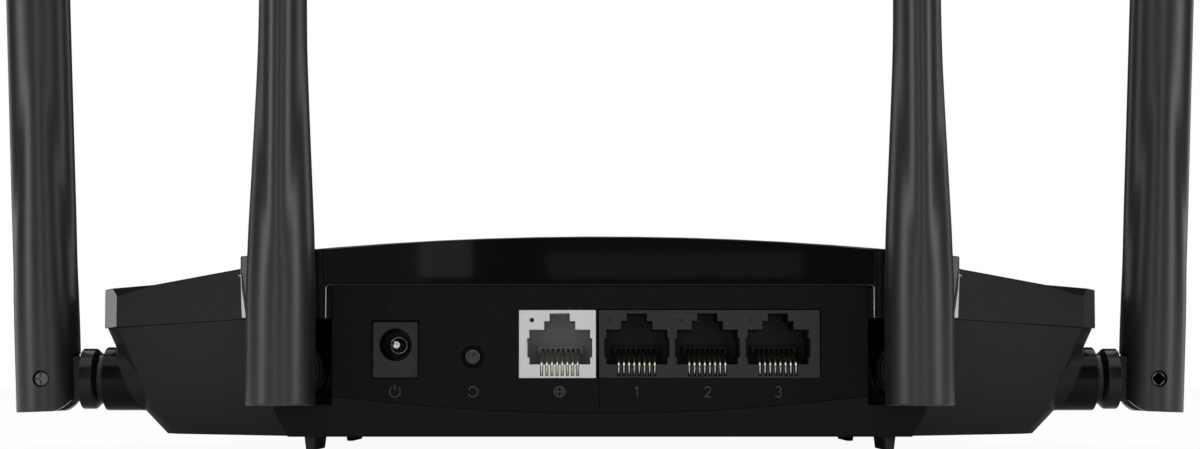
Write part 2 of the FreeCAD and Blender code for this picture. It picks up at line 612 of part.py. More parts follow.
board_screws, case_screws = [], []
for side in ("", "-"):
    for x, y in zip(*BOARD_POSTS):
        board_screws.append(screw("board_screw", f"{side}{x}", y, BOARD_TOP, "board_screw * 2.1", "1.6",
                                  "board_screw", "board_thick + 6", True))
    for x, y in zip(*CASE_BOSSES):
        case_screws.append(screw("case_screw", f"{side}{x}", y, "base_z + 4", "case_screw * 2", "1.8",
                                 "case_screw", "22", False))
finish("board_screws", group("board_screws", board_screws))
finish("case_screws", group("case_screws", case_screws))


def on_board(name, places, width, length, height):
    """Boxes of one kind that stand on the board, each given by its middle."""
    boxes = [box(name, (f"{x} - {width / 2}", f"{y} - {length / 2}", BOARD_TOP),
                 (f"{x} + {width / 2}", f"{y} + {length / 2}", f"{BOARD_TOP} + {height}"))
             for x, y in places]
    return finish(name, group(name, boxes))


on_board("network_transformers", [("wan_x", 24), (11, 24), (29, 24)], 14, 9, 5.5)
on_board("processor_chip", [(2, 52)], 17, 17, 1.6)
on_board("memory_chip", [(-22, 52)], 10, 13, 1.2)
on_board("radio_shields", [(-44, 60), (44, 60)], 24, 26, 3)
on_board("power_inductors", [(-46, 26), (-35, 26)], 6.5, 6.5, 3.6)
on_board("status_leds", [(i * number("light_pitch"), 88) for i in range(-2, 3)], 1.6, 0.8, 0.7)
finish("capacitors", group("capacitors", [
    rod("capacitor", (str(x), str(y), BOARD_TOP), (0, 0, 1), str(r), str(tall_by))
    for x, y, r, tall_by in ((-46, 38, 4, 9), (-35.5, 37, 3.15, 7), (-27, 33, 2.5, 5.5))]))
finish("antenna_plugs", group("antenna_plugs", [
    rod("antenna_plug", (str(x), str(y), BOARD_TOP), (0, 0, 1), "1.3", "1.9")
    for x, y in ((-62, 46), (-58, 40), (58, 40), (62, 46))]))
sink_base = box("sink_base", ("-10", "40", f"{BOARD_TOP} + 1.6"), ("14", "64", f"{BOARD_TOP} + 3.2"))
fins = [box("fin", (f"-10 + {i} * 2.875", "40", f"{BOARD_TOP} + 3"),
            (f"-10 + {i} * 2.875 + 1", "64", f"{BOARD_TOP} + 9")) for i in range(9)]
fins[-1] = box("fin", ("13", "40", f"{BOARD_TOP} + 3"), ("14", "64", f"{BOARD_TOP} + 9"))
finish("heat_sink", fuse("heat_sink", [sink_base, *fins]))

switch_front = "3.6 + button_travel + 0.4"
finish("reset_switch", box("reset_switch", ("button_x - 3", switch_front, BOARD_TOP),
                           ("button_x + 3", f"{switch_front} + 4", "button_z + 2.6")), shift=False)
bind(NODES["reset_switch"], Placement__Base__y=f"{switch_front} + {CENTRE}")
cap_outline = [("0", "-0.5"), ("button_width / 2 - 0.3", "-0.5"), ("button_width / 2", "-0.2"),
               ("button_width / 2", "wall + gap"), ("button_width * 0.85", "wall + gap"),
               ("button_width * 0.85", "3"), ("1.0", "3"), ("1.0", "4.0"), ("0", "4.0")]
reset_button = new_body("reset_button")
revolve(reset_button, "XY", "V_Axis", cap_outline)
finish("reset_button", reset_button)
bind(reset_button, Placement__Base__x="button_x", Placement__Base__z="button_z")

# status light guide: five posts on one bar, flush with the lid
light_trim = common("light_trim", fuse("light_posts", lights("light_post", "0", "24", "40")),
                    arch("light_roof", "0.15"))
light_bar = box("light_bar", ("-light_pitch * 2 - 1.5", "light_y - 1.5", "22.5"),
                ("light_pitch * 2 + 1.5", "light_y + 1.5", "24.5"))
finish("light_guide", fuse("light_guide", [light_bar, light_trim]))


def foot(side, y):
    """A narrow rib that tapers towards the surface it stands on, pressed into the base."""
    return block("foot", "XZ", [(f"{side} * foot_x - foot_tip / 2", "0"),
                                (f"{side} * foot_x + foot_tip / 2", "0"),
                                (f"{side} * foot_x + foot_width / 2", "base_z"),
                                (f"{side} * foot_x + foot_width / 2", "base_z + wall / 2"),
                                (f"{side} * foot_x - foot_width / 2", "base_z + wall / 2"),
                                (f"{side} * foot_x - foot_width / 2", "base_z")], y, "foot_length")


finish("feet", group("feet", [foot(s, y) for s in (-1, 1) for y in ("foot_back", "foot_front")]))


# ---- coaxial leads inside the case, from each barrel to its plug on the board
def lead(points, bend):
    """A round wire along straight runs joined by tangent arcs."""
    spots = [Vector(*p) for p in points]
    edges, start = [], spots[0]
    for before, here, after in zip(spots, spots[1:], spots[2:]):
        back, ahead = (before - here).normalize(), (after - here).normalize()
        half = back.getAngle(ahead) / 2
        run = bend / math.tan(half)
        middle = (back + ahead).normalize() * (bend / math.sin(half) - bend)
        edges += [Part.LineSegment(start, here + back * run),
                  Part.Arc(here + back * run, here + middle, here + ahead * run)]
        start = here + ahead * run
    edges.append(Part.LineSegment(start, spots[-1]))
    wire = Part.Wire([e.toShape() for e in edges])
    disc = Part.Wire(Part.Circle(spots[0], spots[1] - spots[0], number("lead_radius")).toShape())
    return wire.makePipeShell([disc], True, False)


top = number(BOARD_TOP) + 1.9
LEADS = {
    "outer_left": [(-89.6, 31.5, 14.3), (-83, 31.5, 14.3), (-78, 31.5, 19), (-62, 36, 21), (-62, 46, 21),
                   (-62, 46, top)],
    "inner_left": [(-62.1, 17.1, 16), (-62.1, 21, 16), (-62.1, 24, 20), (-58, 34, 20.5), (-58, 40, 20.5),
                   (-58, 40, top)],
}
LEADS["outer_right"] = [(-x, y, z) for x, y, z in LEADS["outer_left"]]
LEADS["inner_right"] = [(-x, y, z) for x, y, z in LEADS["inner_left"]]
for name, route in LEADS.items():
    item = doc.addObject("Part::Feature", "antenna_lead_" + name)
    item.Shape = lead(route, 1.7)
    finish("antenna_lead_" + name, item)


# ---- antennas: in each hinge's own frame the barrel runs along +Y to the case and the pin along X
def swivel(name, run):
    """The hinge's tongue, flange and neck, on a shaft that turns in the case's collar."""
    body = new_body(name)
    groove_near = f"collar_near + {run} + 0.1"
    tail = f"{groove_near} + groove_width"
    revolve(body, "XY", "V_Axis", [
        ("0", "flange_near"), ("flange_radius", "flange_near"),
        ("flange_radius", "neck_near - flange_radius + neck_radius"), ("neck_radius", "neck_near"),
        ("neck_radius", "collar_near - 0.1"), ("shaft_radius", "collar_near - 0.1"),
        ("shaft_radius", groove_near), ("groove_radius", groove_near), ("groove_radius", tail),
        ("shaft_radius", tail), ("shaft_radius", f"{tail} + shaft_tail"), ("0", f"{tail} + shaft_tail")])
    tongue = new_sketch(body, "YZ", "-tongue_thick / 2")
    rectangle(tongue, "0", "-eye_radius", "flange_near + 1", "eye_radius")
    feature(body, "Pad", tongue, Length="tongue_thick")
    eye = new_sketch(body, "YZ", "-tongue_thick / 2")
    circle(eye, "0", "0", "eye_radius")
    feature(body, "Pad", eye, Length="tongue_thick")
    hole = new_sketch(body, "YZ", "-tongue_thick")
    circle(hole, "0", "0", "pin_radius + 0.05")
    feature(body, "Pocket", hole, Length="tongue_thick * 2", Reversed=True)
    way = new_sketch(body, "XZ", f"-({tail} + shaft_tail + 1)")
    circle(way, "0", "0", "1.6")
    feature(body, "Pocket", way, Length=f"{tail} + shaft_tail - flange_near", Reversed=True)
    return body


def clip(name, run):
    """A snap ring in the shaft's groove, open on one side."""
    body = new_body(name)
    ring = new_sketch(body, "XZ", f"-(collar_near + {run} + 0.2)")
    circle(ring, "0", "0", "clip_radius")
    circle(ring, "0", "0", "groove_radius")
    feature(body, "Pad", ring, Length="clip_thick", Reversed=True)
    mouth = new_sketch(body, "XZ", f"-(collar_near + {run})")
    rectangle(mouth, "-2.4", "0", "2.4", "clip_radius + 1")
    feature(body, "Pocket", mouth, Length="groove_width + 2")
    return body


def sheath(name, side):
    """The antenna's sleeve: an elliptical blade that grows out of a round tapered foot."""
    body = new_body(name)
    plan = new_sketch(body, "XY", "-sheath_low")
    edge = plan.addGeometry(Part.Ellipse(Vector(0, 0, 0), number("sheath_width") / 2,
                                         number("blade_thick") / 2), False)
    blade = Part.Ellipse(Vector(0, number("sheath_width") / 2, 0),
                         Vector(number("blade_thick") / 2, 0, 0), Vector(0, 0, 0))
    plan.delGeometry(edge)
    edge = plan.addGeometry(blade, False)
    plan.addConstraint(Sketcher.Constraint("Block", edge))
    feature(body, "Pad", plan, Length="sheath_high + sheath_low")
    ends = [f for f in range(1, len(body.Shape.Edges) + 1)
            if body.Shape.Edges[f - 1].CenterOfMass.z > number("sheath_high") - 0.01]
    grown = body.Tip
    rounded = body.newObject("PartDesign::Fillet", name + "_tip")
    rounded.Base = (grown, [f"Edge{f}" for f in ends])
    bind(rounded, Radius="blade_thick * 0.27")
    doc.recompute()
    revolve(body, "XZ", "V_Axis", [("0", "-sheath_low"), ("sheath_width / 2", "-sheath_low"),
                                   ("sheath_width / 2", "cone_low"), ("blade_thick / 2", "cone_high"),
                                   ("0", "cone_high")])
    slot = new_sketch(body, "YZ", "-slot_width / 2")
    rectangle(slot, "-slot_back", "-sheath_low - 1", "sheath_width", "slot_back")
    feature(body, "Pocket", slot, Length="slot_width", Reversed=True)
    heel = new_sketch(body, "YZ", "-sheath_width")
    across = "sheath_width"
    polygon(heel, [("0.5", "-sheath_low - 2"), ("0.5", "-heel_radius"), ("heel_radius * 0.5",
                   "-heel_radius * 0.866"), ("heel_radius * 0.8", "-heel_radius * 0.6"),
                   (across, "-heel_radius * 0.3"), (across, "-sheath_low - 2")])
    feature(body, "Pocket", heel, Length="sheath_width * 2", Reversed=True)
    core = new_sketch(body, "XY", "slot_back - 1")
    circle(core, "0", "0", "core_radius")
    feature(body, "Pocket", core, Length="sheath_high - slot_back - 3", Reversed=True)
    hole = new_sketch(body, "YZ", "-sheath_width * 0.41")
    circle(hole, "0", "0", "pin_radius")
    feature(body, "Pocket", hole, Length="sheath_width * 0.82", Reversed=True)
    seat = new_sketch(body, "YZ", f"{side} * head_seat")
    circle(seat, "0", "0", "head_radius + 0.1")
    feature(body, "Pocket", seat, Length="4", Reversed=side > 0)
    return body


def pivot_screw(name, side):
    """The pin of the fold: a countersunk head in one cheek and a shank through both."""
    body = new_body(name)
    seat = f"{side} * head_seat"
    revolve(body, "XY", "H_Axis", [
        (f"{side} * (0 - sheath_width * 0.4)", "0"), (f"{side} * (0 - sheath_width * 0.4)", "pin_radius"),
        (seat, "pin_radius"), (seat, "head_radius"), (f"{side} * (head_seat + 0.7)", "head_radius"),
        (f"{side} * (head_seat + 0.95)", "head_radius - 0.3"), (f"{side} * (head_seat + 0.95)", "0")])
    slot = new_sketch(body, "YZ", f"{side} * (head_seat + 0.5)")
    rectangle(slot, "-0.25", "-1.2", "0.25", "1.2")
    feature(body, "Pocket", slot, Length="2", Reversed=side > 0)
    cross = new_sketch(body, "YZ", f"{side} * (head_seat + 0.5)")
    rectangle(cross, "-1.2", "-0.25", "1.2", "0.25")
    feature(body, "Pocket", cross, Length="2", Reversed=side > 0)
    return body


for name, (x, y, z, turn, leaning, side, run) in ANTENNAS.items():
    core = block("radiator_" + name, "XY", [("-2.7", "-0.4"), ("2.7", "-0.4"), ("2.7", "0.4"), ("-2.7", "0.4")],
                 "slot_back + 3", "sheath_high - slot_back - 8")
    fixed = {"swivel_": swivel("swivel_" + name, run), "clip_": clip("clip_" + name, run)}
    leaned = {"sheath_": sheath("sheath_" + name, side), "radiator_": core,
              "pivot_screw_": pivot_screw("pivot_screw_" + name, side)}
    for kind, body in {**fixed, **leaned}.items():
        tilt = number(leaning) if kind in leaned else 0
        body.Placement.Rotation = Rotation(Vector(0, 0, 1), turn) * Rotation(Vector(1, 0, 0), tilt)
        finish(kind + name, body, shift=False)
        bind(body, Placement__Base__x=x, Placement__Base__y=f"{y} + {CENTRE}", Placement__Base__z=z)

doc.recompute()
failed = [o.Label for o in doc.Objects if "Invalid" in o.State or "Error" in o.State]
if failed:
    raise RuntimeError(f"failed objects: {failed}")
os.makedirs("parts", exist_ok=True)
for name, item in NODES.items():
    if item.Shape.isNull() or not item.Shape.isValid() or not item.Shape.Solids:
        raise RuntimeError(f"{name}: shape is empty or not valid")
    item.Shape.exportStep(f"parts/{name}.step")
    print(f"{name:28s} solids {len(item.Shape.Solids):2d}  volume {item.Shape.Volume:9.1f}")
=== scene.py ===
"""A low black wireless router with four hinged antennas, in metres: its ports face -Y and +Z is up."""
import json
import math

import bmesh
import bpy
import numpy as np
from mathutils import Matrix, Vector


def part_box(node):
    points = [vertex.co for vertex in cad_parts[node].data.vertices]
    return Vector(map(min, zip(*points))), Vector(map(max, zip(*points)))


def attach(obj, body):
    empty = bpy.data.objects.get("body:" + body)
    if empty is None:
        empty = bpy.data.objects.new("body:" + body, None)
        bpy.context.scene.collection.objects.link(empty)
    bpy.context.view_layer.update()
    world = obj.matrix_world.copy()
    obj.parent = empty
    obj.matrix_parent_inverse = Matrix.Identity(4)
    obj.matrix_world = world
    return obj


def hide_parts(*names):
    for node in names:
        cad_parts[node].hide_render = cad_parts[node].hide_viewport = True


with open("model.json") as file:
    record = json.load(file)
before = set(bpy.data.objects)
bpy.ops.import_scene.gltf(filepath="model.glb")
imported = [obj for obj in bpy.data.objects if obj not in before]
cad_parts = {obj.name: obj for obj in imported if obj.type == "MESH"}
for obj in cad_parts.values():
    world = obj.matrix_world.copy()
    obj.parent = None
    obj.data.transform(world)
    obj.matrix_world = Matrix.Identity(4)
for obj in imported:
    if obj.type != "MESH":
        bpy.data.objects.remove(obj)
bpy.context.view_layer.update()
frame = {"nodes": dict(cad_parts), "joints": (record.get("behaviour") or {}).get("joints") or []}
scene = bpy.context.scene
MM = 0.001
PORT_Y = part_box("port_panel")[0].y  # the plane of the sockets; the case lies beyond it

# ---- camera: low over the table, straight at the ports
# It looks up a little, and a small lens shift gives the rest of the rise.
lens = bpy.data.cameras.new("port_view")
lens.lens = 65.1
lens.sensor_width = 36
lens.shift_y = 0.04
lens.clip_start = 0.01
camera = bpy.data.objects.new("port_view", lens)
camera.location = (0, PORT_Y - 430 * MM, 14 * MM)
camera.rotation_euler = (math.radians(92.84), 0, 0)
scene.collection.objects.link(camera)
scene.camera = camera
scene.view_settings.view_transform = "Standard"

# ---- table: a white light table, so its far part is as bright as the paper behind it
# The glow is only seen directly; what the router receives from it is ordinary white paper in lamp light.
across = np.linspace(-3.0, 3.0, 9)
x, y = np.meshgrid(across, across)
corner = np.arange(x.size).reshape(x.shape)
mesh = bpy.data.meshes.new("table")
mesh.from_pydata(np.stack([x, y, np.full_like(x, -0.0002)], -1).reshape(-1, 3).tolist(), [], np.stack(
    [corner[:-1, :-1], corner[:-1, 1:], corner[1:, 1:], corner[1:, :-1]], -1).reshape(-1, 4).tolist())
table = bpy.data.objects.new("table", mesh)
scene.collection.objects.link(table)
paper = bpy.data.materials.new("table_paper")
paper.use_nodes = True
n, k = paper.node_tree.nodes, paper.node_tree.links
matt = n["Principled BSDF"]
matt.inputs["Base Color"].default_value = (0.86, 0.86, 0.86, 1)
matt.inputs["Roughness"].default_value = 0.9
matt.inputs["Specular IOR Level"].default_value = 0.05
glow, direct, share, blend = (n.new("ShaderNode" + kind) for kind in (
    "Emission", "LightPath", "Math", "MixShader"))
glow.inputs["Strength"].default_value = 1.0
share.operation = "MULTIPLY"
share.inputs[1].default_value = 0.95  # the rest is the paper's own shading, which keeps a faint shadow
k.new(direct.outputs["Is Camera Ray"], share.inputs[0])
k.new(share.outputs[0], blend.inputs[0])
k.new(matt.outputs[0], blend.inputs[1])
k.new(glow.outputs[0], blend.inputs[2])
k.new(blend.outputs[0], n["Material Output"].inputs["Surface"])
mesh.materials.append(paper)

# ---- room: white paper behind the router, a dim room in its reflections
world = bpy.data.worlds.new("studio")
world.use_nodes = True
scene.world = world
n, k = world.node_tree.nodes, world.node_tree.links
n.clear()
out, seen, felt, direct, blend = (n.new("ShaderNode" + kind) for kind in (
    "OutputWorld", "Background", "Background", "LightPath", "MixShader"))
seen.inputs["Color"].default_value = (1, 1, 1, 1)
felt.inputs["Color"].default_value = (0.95, 0.97, 1, 1)
felt.inputs["Strength"].default_value = 0.035
k.new(direct.outputs["Is Camera Ray"], blend.inputs[0])
k.new(felt.outputs[0], blend.inputs[1])
k.new(seen.outputs[0], blend.inputs[2])
k.new(blend.outputs[0], out.inputs["Surface"])


# ---- lamps: one wide softbox overhead, tall ones to the sides, and weak cards that show in the lid
# The side boxes and the strips give the antennas their long bands; the flank boxes rim them from behind.
def softbox(name, place, target, width, height, glow):
    """A rectangular lamp of a given surface brightness, turned from its place towards a target."""
    light = bpy.data.lights.new(name, "AREA")
    light.shape = "RECTANGLE"
    light.size, light.size_y = width, height
    light.energy = glow * math.pi * width * height
    item = bpy.data.objects.new(name, light)
    item.location = place
    way = np.subtract(target, place)
    item.rotation_euler = (
        math.acos(-way[2] / np.linalg.norm(way)), 0, math.atan2(way[1], way[0]) - math.pi / 2)
    item.visible_camera = False
    scene.collection.objects.link(item)


softbox("overhead", (0, 0, 1.7), (0, 0.01, 0), 3.2, 3.2, 1.5)
for side in (-1, 1):
    softbox("side_box", (side * 0.75, -0.52, 0.26), (0, 0, 0.06), 0.26, 0.8, 3.6)
    softbox("strip", (side * 0.165, -0.62, 0.27), (0, 0, 0.09), 0.075, 0.54, 2.6)
    softbox("flank_box", (side * 0.76, 0.43, 0.28), (0, 0, 0.03), 0.35, 0.56, 1.2)
softbox("lid_card_left", (-0.145, -1.66, 0.125), (0, 0, 0.04), 0.05, 0.05, 0.30)
softbox("lid_card_wide", (-0.21, -1.66, 0.12), (0, 0, 0.04), 0.10, 0.06, 0.07)
softbox("lid_card_right", (0.07, -1.66, 0.118), (0, 0, 0.04), 0.24, 0.035, 0.12)


# ---- bottom shell: one ABS moulding with the skirt, the hinge bays and the four antenna collars
# The mould is spark-eroded, which leaves an even and very fine grain; handling changes its gloss a little.
def surface_group(name, **inputs):
    """A node group with the given inputs, numbers or colours, and Color, Roughness and Height outputs."""
    group = bpy.data.node_groups.new(name, "ShaderNodeTree")
    for socket, value in inputs.items():
        kind = "NodeSocketColor" if isinstance(value, tuple) else "NodeSocketFloat"
        group.interface.new_socket(socket, in_out="INPUT", socket_type=kind).default_value = value
    for socket, kind in (("Color", "NodeSocketColor"), ("Roughness", "NodeSocketFloat"),
                         ("Height", "NodeSocketFloat")):
        group.interface.new_socket(socket, in_out="OUTPUT", socket_type=kind)
    return group


def moulded_surface_group():
    """Fine noise gives the grain's height, slow noise varies the roughness, and dust is sparse pale specks."""
    group = surface_group("moulded_surface", Color=(0.03, 0.03, 0.03, 1), Roughness=0.45, Grain=2500.0,
                          Mottle=0.12, Dust=0.03)
    n, k = group.nodes, group.links
    given, result = n.new("NodeGroupInput"), n.new("NodeGroupOutput")
    where = n.new("ShaderNodeTexCoord")
    grain, slow, specks = (n.new("ShaderNodeTexNoise") for _ in range(3))
    for noise, scale, detail in ((grain, 2500, 3), (slow, 38, 4), (specks, 900, 2)):
        k.new(where.outputs["Object"], noise.inputs["Vector"])
        noise.inputs["Scale"].default_value = scale
        noise.inputs["Detail"].default_value = detail
    k.new(given.outputs["Grain"], grain.inputs["Scale"])
    swing, lift = n.new("ShaderNodeMapRange"), n.new("ShaderNodeMapRange")
    swing.inputs["To Min"].default_value, swing.inputs["To Max"].default_value = -0.5, 0.5
    lift.inputs["From Min"].default_value, lift.inputs["From Max"].default_value = 0.62, 0.76
    k.new(slow.outputs["Fac"], swing.inputs["Value"])
    k.new(specks.outputs["Fac"], lift.inputs["Value"])
    scaled, rough, faint = (n.new("ShaderNodeMath") for _ in range(3))
    scaled.operation, rough.operation, faint.operation = "MULTIPLY", "ADD", "MULTIPLY"
    rough.use_clamp = True
    k.new(swing.outputs["Result"], scaled.inputs[0])
    k.new(given.outputs["Mottle"], scaled.inputs[1])
    k.new(given.outputs["Roughness"], rough.inputs[0])
    k.new(scaled.outputs[0], rough.inputs[1])
    k.new(lift.outputs["Result"], faint.inputs[0])
    k.new(given.outputs["Dust"], faint.inputs[1])
    tint = n.new("ShaderNodeMix")
    tint.data_type = "RGBA"
    k.new(faint.outputs[0], tint.inputs["Factor"])
    k.new(given.outputs["Color"], tint.inputs["A"])
    tint.inputs["B"].default_value = (0.30, 0.30, 0.29, 1)
    k.new(tint.outputs["Result"], result.inputs["Color"])
    k.new(rough.outputs[0], result.inputs["Roughness"])
    k.new(grain.outputs["Fac"], result.inputs["Height"])
    return group


MOULDED = moulded_surface_group()


def moulded(name, colour, roughness, grain=2500.0, depth=0.15, mottle=0.12, dust=0.02, specular=0.5):
    """A moulded plastic: the shared surface group feeds its colour, its roughness and its bump."""
    material = bpy.data.materials.new(name)
    material.use_nodes = True
    n, k = material.node_tree.nodes, material.node_tree.links
    bsdf, surface, bump = n["Principled BSDF"], n.new("ShaderNodeGroup"), n.new("ShaderNodeBump")
    surface.node_tree = MOULDED
    surface.name = "surface"
    surface.inputs["Color"].default_value = (*colour, 1)
    for socket, value in (("Roughness", roughness), ("Grain", grain), ("Mottle", mottle), ("Dust", dust)):
        surface.inputs[socket].default_value = value
    bump.inputs["Strength"].default_value = depth
    bump.inputs["Distance"].default_value = 0.02 * MM
    k.new(surface.outputs["Color"], bsdf.inputs["Base Color"])
    k.new(surface.outputs["Roughness"], bsdf.inputs["Roughness"])
    k.new(surface.outputs["Height"], bump.inputs["Height"])
    k.new(bump.outputs["Normal"], bsdf.inputs["Normal"])
    bsdf.inputs["Specular IOR Level"].default_value = specular
    return material


def softened(node, name, width, body, material, wide_face=30, turn=12, corner=28):
    """The CAD piece's own surface with its points merged, its flat faces joined and its edges rounded.

    An edge is rounded where its faces turn by more than `corner` degrees, or by more than `turn` degrees
    between two faces that are both wider than `wide_face` square millimetres."""
    mesh = frame["nodes"][node].data.copy()
    shape = bmesh.new()
    shape.from_mesh(mesh)
    bmesh.ops.remove_doubles(shape, verts=shape.verts, dist=0.002 * MM)
    bmesh.ops.dissolve_limit(shape, angle_limit=math.radians(0.6), verts=shape.verts, edges=shape.edges)
    weight = shape.edges.layers.float.new("bevel_weight_edge")
    for edge in shape.edges:
        if len(edge.link_faces) == 2:
            angle = math.degrees(edge.calc_face_angle(0))
            area = min(face.calc_area() for face in edge.link_faces) / MM ** 2
            edge[weight] = float(angle > corner or (angle > turn and area > wide_face))
    shape.to_mesh(mesh)
    shape.free()
    mesh.polygons.foreach_set("use_smooth", np.ones(len(mesh.polygons), bool))
    mesh.materials.clear()
    mesh.materials.append(material)
    piece = bpy.data.objects.new(name, mesh)
    scene.collection.objects.link(piece)
    rounding = piece.modifiers.new("rounded_edges", "BEVEL")
    rounding.width = width * MM
    rounding.segments = 3
    rounding.limit_method = "WEIGHT"
    rounding.use_clamp_overlap = False
    rounding.miter_outer = "MITER_ARC"
    flat = piece.modifiers.new("flat_faces", "WEIGHTED_NORMAL")
    flat.weight = 100
    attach(piece, body)
    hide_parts(node)
    return piece


def chained(n, k, operation, *sources, clamp=False):
    """One Math node whose inputs are numbers or other nodes' outputs; gives its output."""
    node = n.new("ShaderNodeMath")
    node.operation = operation
    node.use_clamp = clamp
    for socket, source in zip(node.inputs, sources):
        if isinstance(source, (int, float)):
            socket.default_value = source
        else:
            k.new(source, socket)
    return node.outputs[0]


def axes_of(n, k, kind, output):
    """The x, y and z outputs of a vector that a node gives, such as a point's place or its face's normal."""
    source, axes = n.new("ShaderNode" + kind), n.new("ShaderNodeSeparateXYZ")
    k.new(source.outputs[output], axes.inputs[0])
    return axes.outputs


def shaded(n, k, mask, colour):
    """Turns a moulded plastic's colour into another where the mask is 1."""
    shade = n.new("ShaderNodeMix")
    shade.data_type = "RGBA"
    k.new(mask, shade.inputs["Factor"])
    k.new(n["surface"].outputs["Color"], shade.inputs["A"])
    shade.inputs["B"].default_value = (*colour, 1)
    k.new(shade.outputs["Result"], n["Principled BSDF"].inputs["Base Color"])


def glossier(n, k, mask, less):
    """Takes `less` off a moulded plastic's roughness where the mask is 1."""
    k.new(chained(n, k, "MULTIPLY_ADD", mask, -less, n["surface"].outputs["Roughness"], clamp=True),
          n["Principled BSDF"].inputs["Roughness"])


# the skirt under the panel, the hinge bays and the collars are coloured near black as painted shade; the bays and
# the collars are also polished
skirt_half, skirt_back = 65 * MM, PORT_Y + 0.6 * MM
bay_x, bay_half, bay_y, bay_half_deep, bay_floor = 61.8 * MM, 8.6 * MM, PORT_Y + 9.0 * MM, 4.0 * MM, 9.1 * MM
collar_slope, collar_x = 0.445, 93.4 * MM  # the side collars lie beyond |x| = collar_x + collar_slope * z
shell_black = moulded("black_shell", (0.0128, 0.0128, 0.0132), 0.42, specular=0.15)
n, k = shell_black.node_tree.nodes, shell_black.node_tree.links
x, y, z = axes_of(n, k, "TexCoord", "Object")
wide = chained(n, k, "ABSOLUTE", x)
skirt = chained(n, k, "MULTIPLY", chained(n, k, "LESS_THAN", wide, skirt_half),
                chained(n, k, "LESS_THAN", y, skirt_back))
deep = chained(n, k, "MULTIPLY", chained(n, k, "COMPARE", y, bay_y, bay_half_deep),
               chained(n, k, "GREATER_THAN", z, bay_floor))
bay = chained(n, k, "MULTIPLY", chained(n, k, "COMPARE", wide, bay_x, bay_half), deep)
collar = chained(n, k, "GREATER_THAN", chained(n, k, "MULTIPLY_ADD", z, -collar_slope, wide), collar_x)
polished = chained(n, k, "MAXIMUM", bay, collar)
# painted shade: the skirt, the hinge bays and the collars are coloured near black
shaded(n, k, chained(n, k, "MAXIMUM", polished, skirt), (0.0015, 0.0015, 0.0015))
glossier(n, k, polished, 0.26)
softened("bottom_shell", "bottom_shell_moulding", 0.25, "case", shell_black)

# ---- top cover: both wings and the sunken deck under the lid, in the same grained ABS
# The corner facets and the thin facets along the wings' tops are polished in the mould. The corner facet on the
# left is also coloured pale grey and the one on the right slightly grey, in place of the light they catch.
cover_black = moulded("black_cover", (0.010, 0.010, 0.0104), 0.42, specular=0.24)
n, k = cover_black.node_tree.nodes, cover_black.node_tree.links
x, y, z = axes_of(n, k, "NewGeometry", "True Normal")
outward = chained(n, k, "GREATER_THAN", chained(n, k, "ABSOLUTE", x), 0.7)
tilted = chained(n, k, "GREATER_THAN", z, 0.2)
polished = chained(n, k, "MULTIPLY", chained(n, k, "MAXIMUM", outward, tilted),
                   chained(n, k, "LESS_THAN", y, -0.3))
glossier(n, k, polished, 0.30)
corners = chained(n, k, "MULTIPLY", polished, chained(n, k, "LESS_THAN", z, 0.2))
share_of_paint = chained(n, k, "MULTIPLY_ADD", chained(n, k, "LESS_THAN", x, 0), 0.9, 0.1)
shaded(n, k, chained(n, k, "MULTIPLY", corners, share_of_paint), (0.34, 0.34, 0.345))
softened("top_cover", "top_cover_moulding", 0.2, "case", cover_black)

# ---- lid: a shallow cap of mirror-polished black over the middle, with an apron down to the hinge bays
# It lies on the cover's sunken deck. The narrow facets at its two corners beside the bays are coloured pale grey,
# in place of the light they catch.
lid_black = moulded("black_gloss", (0.0025, 0.0025, 0.0027), 0.035, grain=300, depth=0.03,
                    mottle=0.02, dust=0.004)
n, k = lid_black.node_tree.nodes, lid_black.node_tree.links
x, y, z = axes_of(n, k, "NewGeometry", "True Normal")
diagonal, spread = 0.7, 0.06  # a facet's normal lies within the spread of 45 degrees between X and -Y
shaded(n, k, chained(n, k, "MULTIPLY", chained(n, k, "COMPARE", chained(n, k, "ABSOLUTE", x), diagonal, spread),
                     chained(n, k, "COMPARE", y, -diagonal, spread)), (0.55, 0.55, 0.555))
softened("gloss_lid", "gloss_lid_cap", 0.35, "case", lid_black)

# ---- port panel: a separate plate of finer, drier grain, let into the case between the bays
# Its openings are cut to the sockets, whose faces lie just behind its own.
panel_black = moulded("black_panel", (0.0032, 0.0032, 0.0034), 0.55, grain=3200, depth=0.25, specular=0.09)
softened("port_panel", "port_panel_plate", 0.15, "case", panel_black)

# ---- network sockets: a pale grey one for the line in and one black block of three
# They are matt mouldings that stand on the board. Their colour darkens with depth, in place of the little light
# that gets in. The power inlet is moulded in the same black.
wan_grey = moulded("grey_socket", (0.56, 0.56, 0.56), 0.5, depth=0.1, dust=0.0, specular=0.4)
socket_black = moulded("black_socket", (0.016, 0.016, 0.0165), 0.45, depth=0.1, dust=0.0, specular=0.3)
for material, inner in ((wan_grey, 0.32), (socket_black, 0.0008)):
    n, k = material.node_tree.nodes, material.node_tree.links
    depth = n.new("ShaderNodeMapRange")
    depth.inputs["From Min"].default_value = PORT_Y + 0.5 * MM
    depth.inputs["From Max"].default_value = PORT_Y + 9 * MM
    k.new(axes_of(n, k, "TexCoord", "Object")["Y"], depth.inputs["Value"])
    shaded(n, k, depth.outputs["Result"], (inner, inner, inner))
softened("wan_jack", "wan_socket", 0.08, "case", wan_grey)
softened("lan_jack_block", "lan_socket_block", 0.08, "case", socket_black)
softened("power_inlet", "power_inlet_body", 0.12, "case", socket_black)


